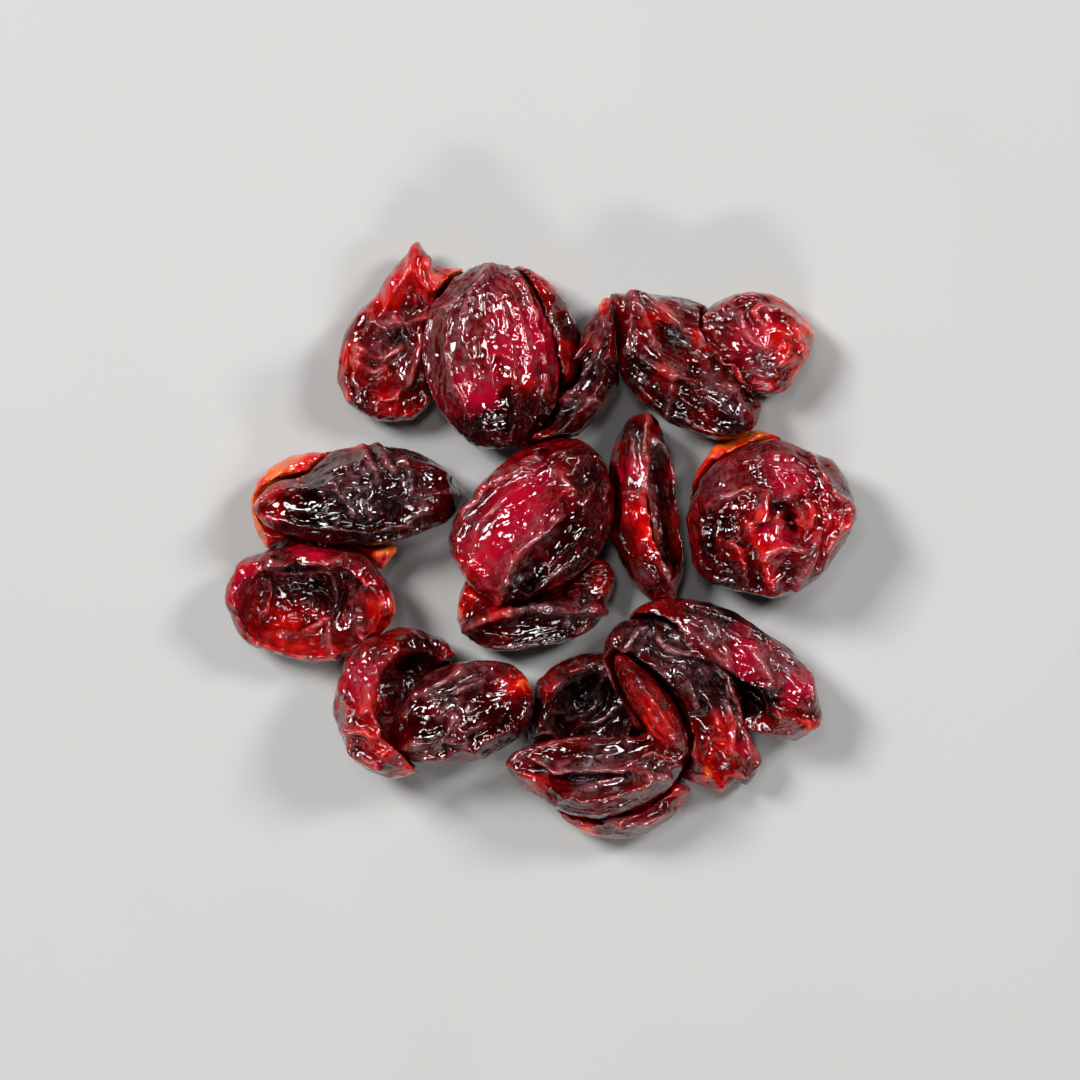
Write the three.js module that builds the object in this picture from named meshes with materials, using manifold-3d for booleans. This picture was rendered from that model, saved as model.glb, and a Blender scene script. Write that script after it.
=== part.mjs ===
// A loose cluster of dried cranberries lying on a flat surface, one layer deep with a few berries
// leaning on or lying over their neighbours. Many are halved berries: a thin, crumpled skin that has
// dried round a hollow. Millimetres, +Z up. The origin is on the surface, under the cluster's middle.

import * as THREE from 'three';
import { mergeVertices } from 'three/addons/utils/BufferGeometryUtils.js';
import Module from 'manifold-3d';

const FACE = 1.6; // size of the faces that a skin is made of
const GAP = 0.35; // clear space left between two berries that touch
const SETTLE = 0.45; // how far a berry sinks into its flat resting spot
const LUMP_LENGTH = 4.6; // spacing of the broad unevenness of a skin
const LUMP_SHARE = 0.035; // how far that unevenness swells a berry, as a share of its size
const OUTER_STEPS = 7; // points on the outer curve of a skin's profile
const INNER_STEPS = 4; // points on the curve of its hollow
const RIM_RISE = 0.09; // how far a rim's round edge stands above the ends of its two walls
const HOLLOW_FULLNESS = 0.7; // 1 for a round hollow, less for steep walls and a flatter floor
const TOP_SIDE = 0.15; // a crease marks the faces that look up by more than this

const wasm = await Module();
wasm.setup();

const smooth = THREE.MathUtils.smoothstep;
const radians = THREE.MathUtils.degToRad;
const degrees = THREE.MathUtils.radToDeg;

// Each berry is listed from the uppermost to the lowest; a berry is cut clear of all those before it.
//   at      centre in plan            half    half its length, width and height
//   yaw     direction of its length   tilt    [lean of its height, direction it leans to], degrees
//   lift    height of its lowest point, 0 where it rests on the surface
//   along   true where its folds run from end to end, instead of from its outer pole to its top
//   mouth   width of its opening as a share of the berry's, none for a closed berry
//   hollow  depth of the opening as a share of half its height; wall is its rim's thickness
//   pinch   how far the opening's long sides are pressed together
//   sweep   sideways bend of its length, positive to the left
//   lobes   [direction from its length, reach, spread] of its outline, degrees and millimetres
//   pleats  [number, depth] folds that run from pole to pole
//   creases [x1, y1, x2, y2, depth, width] grooves in plan from its centre, negative depth for a ridge
const BERRIES = [
  {
    name: 'top_dome', color: 0x7c0f22, at: [-3.5, 13.2], half: [7.0, 5.2, 5.0], yaw: 98, along: true,
    lobes: [[-15, 0.3, 30], [165, -0.3, 30]],
    pleats: [9, 0.3],
    creases: [[-3.5, 1, -1, -2.5, 0.5, 0.9], [0, 4, 1.2, 0, 0.4, 0.8]],
  },
  {
    name: 'centre_ridge', color: 0x6d0a18, at: [-0.3, 1.0], half: [6.8, 5.4, 4.7], yaw: 42, along: true,
    tilt: [9, 42],
    lobes: [[15, 0.7, 25]],
    pleats: [7, 0.3],
    creases: [
      [-3.4, -5.4, 1.4, 0.9, -1.1, 0.8], [1.4, 0.9, 3.7, 2.0, -0.7, 0.8], [-2.0, -6.0, 2.8, 0.2, 0.9, 0.9],
      [-4.0, -2.2, 1.8, 3.4, 0.7, 1.1],
    ],
  },
  {
    name: 'upper_right_tip', color: 0x8c1218, at: [16.3, 14.4], half: [4.4, 4.1, 3.2], yaw: -10, along: true,
    tilt: [20, -10],
    lobes: [[28, 0.5, 16], [-20, -0.4, 16], [-62, 0.4, 16], [-110, -0.5, 25], [165, 0.7, 30]],
    pleats: [7, 0.3],
    creases: [[-1.5, 2.0, 0.5, -1.0, 0.7, 0.8], [-2.5, -1.5, 1.5, -3.5, 0.5, 0.7]],
  },
  {
    name: 'right_dome', color: 0x87101c, at: [17.4, 1.3], half: [6.3, 6.0, 4.6],
    lobes: [[215, 1.0, 22], [40, 0.5, 20], [-40, -0.4, 20]],
    pleats: [8, 0.3],
    creases: [
      [-4.5, -0.5, 1.5, -0.3, 0.9, 0.8], [1.5, -0.3, 4.0, 3.5, 0.8, 0.8], [1.5, -0.3, 4.5, -2.0, 0.7, 0.8],
      [1.5, -0.3, 0.5, -4.5, 0.8, 0.8], [1.5, -0.3, -1.5, 3.5, 0.9, 0.9],
    ],
  },
  {
    name: 'left_dark', color: 0x3a060c, at: [-13.4, 3.0], half: [7.6, 3.8, 4.1], yaw: 3, along: true,
    tilt: [10, 0],
    lobes: [[0, 0.4, 18], [180, 0.2, 16], [75, 0.4, 25], [130, -1.5, 22], [-30, 0.5, 20]],
    pleats: [6, 0.35],
    creases: [[-6, -0.6, 4, -1.2, 0.9, 0.9], [-1, 2, 1.5, -0.5, 0.6, 0.8], [2.5, 2.2, 4.0, -0.5, 0.6, 0.8]],
  },
  {
    name: 'lower_left_dome', color: 0x5d0a16, at: [-5.6, -13.0], half: [5.5, 3.9, 4.0], yaw: 27, along: true,
    lift: 0.4,
    lobes: [[-45, 0.6, 25], [160, 0.3, 30]],
    pleats: [7, 0.3],
    creases: [[-2.4, -2.6, -0.5, 0.4, 0.5, 0.7], [-0.5, 0.4, 2.5, 1.3, 0.6, 0.8]],
  },
  {
    name: 'bottom_lip', color: 0x78101c, at: [4.3, -17.2], half: [6.7, 3.3, 4.0], yaw: 3, tilt: [18, 95],
    lift: 1.4, mouth: 0.92, hollow: 0.45, wall: 0.26, pinch: 0.25, sweep: 0.9,
    lobes: [[180, 0.4, 20], [0, 0.2, 25], [215, -0.6, 20]],
    pleats: [5, 0.2],
    creases: [[-3.5, 0.6, 4.5, 0.4, -0.8, 0.7], [-2.5, -1.4, 3.5, -1.4, -0.6, 0.7]],
    joined: {
      at: [8.5, -12.4], half: [4.1, 1.5, 3.2], yaw: -55, lift: 3.2, along: true,
      lobes: [[180, 0.5, 25]],
      creases: [[-1.5, 2.0, 1.0, -1.5, -0.5, 0.5]],
    },
  },
  {
    name: 'lower_right_tongue', color: 0x64080f, at: [10.7, -12.2], half: [7.6, 4.3, 3.6], yaw: -57,
    along: true, tilt: [16, -60],
    lobes: [[9, 0.8, 9], [27, 0.7, 12], [-16, 0.6, 10], [200, 0.4, 25]],
    pleats: [7, 0.35],
    creases: [
      [1.5, -1.0, 4.0, -6.0, 0.8, 0.7], [-2.5, 4.0, 1.5, 2.5, 0.7, 0.8], [0.5, 1.0, -2.0, -1.5, 0.6, 0.8],
    ],
  },
  {
    name: 'centre_right_edge', color: 0x860f1a, at: [8.3, 2.1], half: [7.2, 2.8, 3.8], yaw: 98, tilt: [34, 0],
    mouth: 0.85, hollow: 1.0, wall: 0.3, pinch: 0.3, sweep: -0.6,
    lobes: [[0, 0.3, 20], [180, 0.5, 18]],
    pleats: [5, 0.25],
  },
  {
    name: 'left_cup', color: 0x8a0d18, at: [-17.1, -4.8], half: [6.6, 4.7, 3.9], yaw: -4, tilt: [22, -90],
    mouth: 0.94, hollow: 0.95, wall: 0.14,
    lobes: [[-8, 0.2, 18]],
    pleats: [8, 0.2],
  },
  {
    name: 'lower_left_cup', color: 0x8c0f1c, at: [-10.7, -12.2], half: [5.7, 4.8, 4.4], yaw: 82,
    tilt: [38, 0], mouth: 0.86, hollow: 1.1, wall: 0.22,
    lobes: [[0, 0.2, 30], [180, 0.3, 25], [-45, 1.1, 22]],
    pleats: [7, 0.25],
  },
  {
    name: 'upper_right_folded', color: 0x5e0910, at: [11.3, 12.7], half: [6.7, 4.6, 3.7], yaw: -42,
    tilt: [10, 50], along: true,
    lobes: [[180, 1.2, 14], [90, 0.2, 30]],
    pleats: [6, 0.3],
    creases: [
      [-2.3, 3.1, 1.3, -0.1, 1.1, 0.8], [1.3, -0.1, 4.5, -2.1, 1.1, 0.8],
      [-3.9, 1.0, -0.3, 0.4, -0.6, 0.7], [-0.3, 0.4, 3.5, -1.5, -0.7, 0.7],
    ],
  },
  {
    name: 'lower_right_fold', color: 0x7a0f1f, at: [13.6, -9.7], half: [8.1, 4.4, 4.2], yaw: -28,
    tilt: [35, -118], mouth: 0.75, hollow: 0.9, wall: 0.24, pinch: 0.3,
    lobes: [[0, 0.8, 14], [-35, 0.7, 18]],
    pleats: [6, 0.3],
  },
  {
    name: 'top_left', color: 0x8d0f16, at: [-10.2, 14.3], half: [6.3, 4.4, 2.9], yaw: 80, tilt: [6, -30],
    mouth: 0.84, hollow: 0.5, wall: 0.2,
    lobes: [[3, 2.3, 12], [-41, 2.1, 20], [48, -0.9, 18], [125, 0.7, 20], [195, -0.5, 18]],
    pleats: [6, 0.25],
    creases: [
      [-2.2, 2.9, 2.0, 2.9, 0.6, 0.8], [-2.6, 0.2, 1.2, 1.2, -0.6, 0.7], [-1.4, -3.4, 1.6, -0.8, -0.6, 0.7],
    ],
  },
  {
    name: 'top_back', color: 0x6e0e0e, at: [-0.1, 15.6], half: [4.6, 3.3, 3.6], yaw: -65, along: true,
    lobes: [[0, 0.3, 25], [180, 0.3, 25]],
    pleats: [6, 0.3],
  },
  {
    name: 'top_leaf', color: 0x520808, at: [2.6, 11.4], half: [6.9, 2.8, 3.7], yaw: 58, sweep: 1.1,
    mouth: 0.8, hollow: 0.4, wall: 0.34, pinch: 0.3,
    lobes: [[0, 0.5, 14]],
    pleats: [5, 0.25],
  },
  {
    name: 'bottom_cup', color: 0x460608, at: [4.0, -13.0], half: [5.4, 4.6, 3.0], yaw: 40, tilt: [8, -50],
    mouth: 0.86, hollow: 1.0, wall: 0.22,
    pleats: [7, 0.25],
  },
  {
    name: 'bottom_under', color: 0x6b0b12, at: [6.2, -18.6], half: [5.4, 4.1, 2.9], yaw: 12, along: true,
    lobes: [[0, 0.2, 30]],
    pleats: [7, 0.3],
  },
  {
    name: 'centre_under', color: 0x4e070a, at: [-0.3, -4.4], half: [5.9, 4.1, 2.7], yaw: 8, tilt: [12, 90],
    along: true,
    lobes: [[15, 0.7, 20], [190, 0.5, 20], [235, 0.5, 20]],
    pleats: [5, 0.3],
    creases: [
      [-4.9, -2.0, -2.1, -1.0, -0.8, 0.7], [-2.1, -1.0, 0.5, -0.5, -0.8, 0.7],
      [0.5, -0.5, 5.1, -1.0, -0.8, 0.7], [-3.0, 0.5, 4.0, 0.8, 0.8, 0.9],
    ],
  },
  {
    name: 'right_under', color: 0x8f2408, at: [16.0, 3.6], half: [4.5, 4.4, 2.4],
    mouth: 0.86, hollow: 0.9, wall: 0.2,
    lobes: [[110, 0.5, 20], [140, 0.3, 20]],
    pleats: [5, 0.15],
  },
  {
    name: 'left_under', color: 0x7e1408, at: [-16.2, 2.0], half: [5.4, 4.6, 2.7], yaw: -12,
    mouth: 0.86, hollow: 0.9, wall: 0.2,
    lobes: [[-20, 1.4, 16], [-40, 0.9, 12], [120, 0.3, 12], [205, 0.4, 20]],
    pleats: [5, 0.2],
  },
];

// The curve of a skin from its outer pole to its top, as shares of the berry's half width and height.
function skinProfile({ mouth = 0, hollow = 0, wall = 0 }) {
  const points = [];
  const lip = Math.acos(mouth);
  const rim = Math.sin(lip);
  for (let i = 0; i <= OUTER_STEPS; i++) {
    const angle = THREE.MathUtils.lerp(-Math.PI / 2, lip, i / OUTER_STEPS);
    points.push(new THREE.Vector2(Math.cos(angle), Math.sin(angle)));
  }
  if (mouth > 0) points.push(new THREE.Vector2(mouth - wall / 2, rim + RIM_RISE));
  for (let i = 0; mouth > 0 && i <= INNER_STEPS; i++) {
    const angle = (i / INNER_STEPS) * (Math.PI / 2);
    const inside = (mouth - wall) * Math.cos(angle) ** HOLLOW_FULLNESS;
    points.push(new THREE.Vector2(inside, rim - hollow * Math.sin(angle)));
  }
  return new THREE.SplineCurve(points);
}

// A sphere whose faces are about FACE wide once it is stretched to the berry's size.
function blankSkin({ half, along }, profile) {
  const [length, width, height] = half;
  const [round, across] = along ? [(width + height) / 2, length] : [(length + width) / 2, width];
  const segments = Math.round((2 * Math.PI * round) / FACE);
  const rings = Math.round((profile.getLength() * across) / FACE) + 1;
  return new THREE.SphereGeometry(1, segments, rings);
}

// How far an outline stands out at one direction from the berry's length.
function outlineReach(lobes, direction) {
  let reach = 0;
  for (const [toward, out, spread] of lobes) {
    const away = THREE.MathUtils.euclideanModulo(direction - toward + 180, 360) - 180;
    reach += out * Math.exp(-((away / spread) ** 2));
  }
  return reach;
}

// Broad, uneven swelling of a skin, different for each berry.
function lump(p, seed) {
  const k = (2 * Math.PI) / LUMP_LENGTH;
  return (
    Math.sin(p.x * k * 0.5 + seed * 1.7) * Math.sin(p.y * k * 0.45 + seed * 2.3) +
    0.5 * Math.sin(p.y * k * 0.9 + p.z * k * 0.7 + seed * 4.1)
  );
}

// Moves the unit sphere's vertices onto one skin, in the berry's own frame: +X is along its length.
function formSkin(geometry, profile, berry, seed) {
  const { half, along, pinch = 0, sweep = 0, lobes = [], pleats = [0, 0] } = berry;
  const [length, width, height] = half;
  const { position, uv } = geometry.attributes;
  for (let i = 0; i < position.count; i++) {
    const turn = uv.getX(i) * 2 * Math.PI;
    const at = profile.getPointAt(THREE.MathUtils.clamp(uv.getY(i), 0, 1));
    const ring = [at.x * Math.cos(turn), at.x * Math.sin(turn)];
    const unit = along ? new THREE.Vector3(at.y, ...ring) : new THREE.Vector3(...ring, at.y);
    const direction = Math.atan2(unit.y, unit.x);
    const out = Math.hypot(unit.x, unit.y) * outlineReach(lobes, degrees(direction));
    const pleat = pleats[1] * at.x * (0.5 + 0.5 * Math.cos(pleats[0] * turn + seed + 1.2 * at.y));
    const p = new THREE.Vector3(
      length * unit.x + out * Math.cos(direction),
      width * unit.y + out * Math.sin(direction),
      height * unit.z,
    );
    p.addScaledVector(unit, -pleat);
    p.y *= 1 - pinch * smooth(at.y, -0.2, 1);
    p.y += sweep * ((p.x / length) ** 2 - 0.4);
    p.multiplyScalar(1 + LUMP_SHARE * lump(p, seed));
    position.setXYZ(i, p.x, p.y, p.z);
  }
}

// Presses the plan's creases into the faces that look up.
function pressCreases(geometry, { at, creases = [] }) {
  geometry.computeVertexNormals();
  const { position, normal } = geometry.attributes;
  const here = new THREE.Vector3();
  const nearest = new THREE.Vector3();
  for (const [x1, y1, x2, y2, depth, width] of creases) {
    const line = new THREE.Line3(
      new THREE.Vector3(at[0] + x1, at[1] + y1, 0),
      new THREE.Vector3(at[0] + x2, at[1] + y2, 0),
    );
    for (let i = 0; i < position.count; i++) {
      const up = smooth(normal.getZ(i), TOP_SIDE, 1);
      here.set(position.getX(i), position.getY(i), 0);
      const away = line.closestPointToPoint(here, true, nearest).distanceTo(here);
      position.setZ(i, position.getZ(i) - up * depth * Math.exp(-((away / width) ** 2)));
    }
  }
}

// Turns, leans and sets down one berry; what would lie under the surface becomes its flat spot.
function place(geometry, { at, yaw = 0, tilt = [0, 0], lift = 0 }) {
  const toward = radians(tilt[1]);
  const leanAxis = new THREE.Vector3(-Math.sin(toward), Math.cos(toward), 0);
  const turned = new THREE.Matrix4().makeRotationZ(radians(yaw));
  geometry.applyMatrix4(new THREE.Matrix4().makeRotationAxis(leanAxis, radians(tilt[0])).multiply(turned));
  geometry.computeBoundingBox();
  const sink = lift > 0 ? 0 : SETTLE;
  geometry.translate(at[0], at[1], lift - sink - geometry.boundingBox.min.z);
  const { position } = geometry.attributes;
  for (let i = 0; i < position.count; i++) position.setZ(i, Math.max(position.getZ(i), 0));
}

// One closed skin in its place, with only positions, so that its seam can be merged.
function berrySkin(berry, seed) {
  const profile = skinProfile(berry);
  const geometry = blankSkin(berry, profile);
  formSkin(geometry, profile, berry, seed);
  place(geometry, berry);
  const skin = closed(geometry);
  pressCreases(skin, berry);
  return closed(skin);
}

function closed(geometry) {
  geometry.deleteAttribute('normal');
  geometry.deleteAttribute('uv');
  return mergeVertices(geometry, 1e-4);
}

// The same skin moved outwards, to cut a neighbour clear of it.
function swollen(geometry, by) {
  const wider = geometry.clone();
  wider.computeVertexNormals();
  const { position, normal } = wider.attributes;
  for (let i = 0; i < position.count; i++) {
    position.setXYZ(
      i,
      position.getX(i) + by * normal.getX(i),
      position.getY(i) + by * normal.getY(i),
      position.getZ(i) + by * normal.getZ(i),
    );
  }
  wider.deleteAttribute('normal');
  return wider;
}

function toSolid(geometry) {
  return new wasm.Manifold(
    new wasm.Mesh({
      numProp: 3,
      vertProperties: new Float32Array(geometry.attributes.position.array),
      triVerts: new Uint32Array(geometry.index.array),
    }),
  );
}

function toGeometry(solid) {
  const { vertProperties, triVerts } = solid.getMesh();
  const geometry = new THREE.BufferGeometry();
  geometry.setAttribute('position', new THREE.BufferAttribute(vertProperties, 3));
  geometry.setIndex(new THREE.BufferAttribute(triVerts, 1));
  geometry.computeVertexNormals();
  return geometry;
}

function largestPiece(solid) {
  return solid.decompose().reduce((a, b) => (a.volume() > b.volume() ? a : b));
}

const cranberries = new THREE.Group();
const placed = [];
BERRIES.forEach((berry, seed) => {
  const skins = [berrySkin(berry, seed)];
  if (berry.joined) skins.push(berrySkin(berry.joined, seed + 0.5));
  let solid = skins.map(toSolid).reduce((a, b) => a.add(b));
  for (const upper of placed) solid = solid.subtract(upper);
  solid = largestPiece(solid);
  placed.push(...skins.map((skin) => toSolid(swollen(skin, GAP))));
  const material = new THREE.MeshStandardMaterial({ color: berry.color, roughness: 0.25, metalness: 0 });
  const mesh = new THREE.Mesh(toGeometry(solid), material);
  mesh.name = `cranberry_${berry.name}`;
  cranberries.add(mesh);
});

const middle = new THREE.Box3().setFromObject(cranberries).getCenter(new THREE.Vector3());
cranberries.position.set(-middle.x, -middle.y, 0);

export default cranberries;
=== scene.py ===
"""The looks of a loose cluster of dried cranberries: crumpled, glossy, translucent skins on a pale
floor, seen from straight overhead. Each packed berry is replaced by a fine skin of the same form,
which is made to grow a little too large for itself, so that it buckles into wrinkles and folds.
Lengths are in millimetres until a finished skin is written out in metres."""

import bmesh
import bpy
import numpy as np
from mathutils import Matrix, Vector, noise
from mathutils.bvhtree import BVHTree


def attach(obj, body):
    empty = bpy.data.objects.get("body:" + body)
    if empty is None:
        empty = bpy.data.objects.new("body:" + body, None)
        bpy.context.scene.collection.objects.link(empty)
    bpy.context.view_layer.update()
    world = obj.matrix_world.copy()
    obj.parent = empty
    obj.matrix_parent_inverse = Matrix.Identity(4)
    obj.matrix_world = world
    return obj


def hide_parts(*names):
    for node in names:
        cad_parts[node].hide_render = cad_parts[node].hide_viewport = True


METRES = 0.001  # one millimetre
PITCH = 0.31  # spacing of the points of a skin before its last, finest wrinkles

# How a skin buckles
STEP = 0.45  # time step, in units of the springs
DAMPING = 0.93
JITTER = 0.02  # how far the points are nudged at the start
ANCHOR = 0.004  # how firmly each point is held to its own place
STOP = 0.5  # how firmly a wrinkle is stopped past PROUD and SUNK
PROUD = 0.40  # how far a wrinkle may rise
SUNK = 0.45  # how far it may sink
SHRUNK = 0.05  # how far a skin is drawn in before it buckles
THIN_WALL = 1.3  # walls thinner than this crumple as one sheet
WALL_HOLD = 0.12  # stiffness of the tie between the two faces of a thin wall
GROWTH_ACROSS = 0.8  # share of the growth that is across the wrinkles alone
GROWTH_PATCH = 3.2  # size of the patches that grow unequally
GROWTH_UNEVEN = 0.5  # how unequally they grow

# The sizes of wrinkle, coarsest first. growth is how much too large the skin gets, bend its stiffness
# against bending, inner and outer how firmly the flesh holds it from sinking and from rising.
WRINKLES = [
    dict(growth=0.06, bend=0.60, inner=0.030, outer=0.010, steps=100),
    dict(growth=0.10, bend=0.08, inner=0.200, outer=0.012, steps=100),
]
FINE_WRINKLES = dict(growth=0.09, bend=0.03, inner=0.15, outer=0.015, steps=60)
FOLD_HEIGHT = 1.3  # how much higher the listed folds are made, as the buckling lowers them
RIDGE_HIGHLIGHT_WIDTH = 0.22  # half the width of the painted highlight line along a ridge
FACETS = [(3.2, 0.42), (1.3, 0.14)]  # (size, height) of the flat faces between creases
FACET_STRETCH = 0.45  # how far the noise is squeezed along the run, so that facets are longer that way
FACET_BEND = 0.35  # how far their borders wander
FACET_BENDS = 0.9  # how often they do
FACET_EDGE = 1.5  # how steeply a facet falls from its border
SEED_SHIFT = 7.3  # how far apart in the noise two berries are

NOISE_SEED = 1  # Blender's own noise takes its seed from the clock unless it is given one
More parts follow.
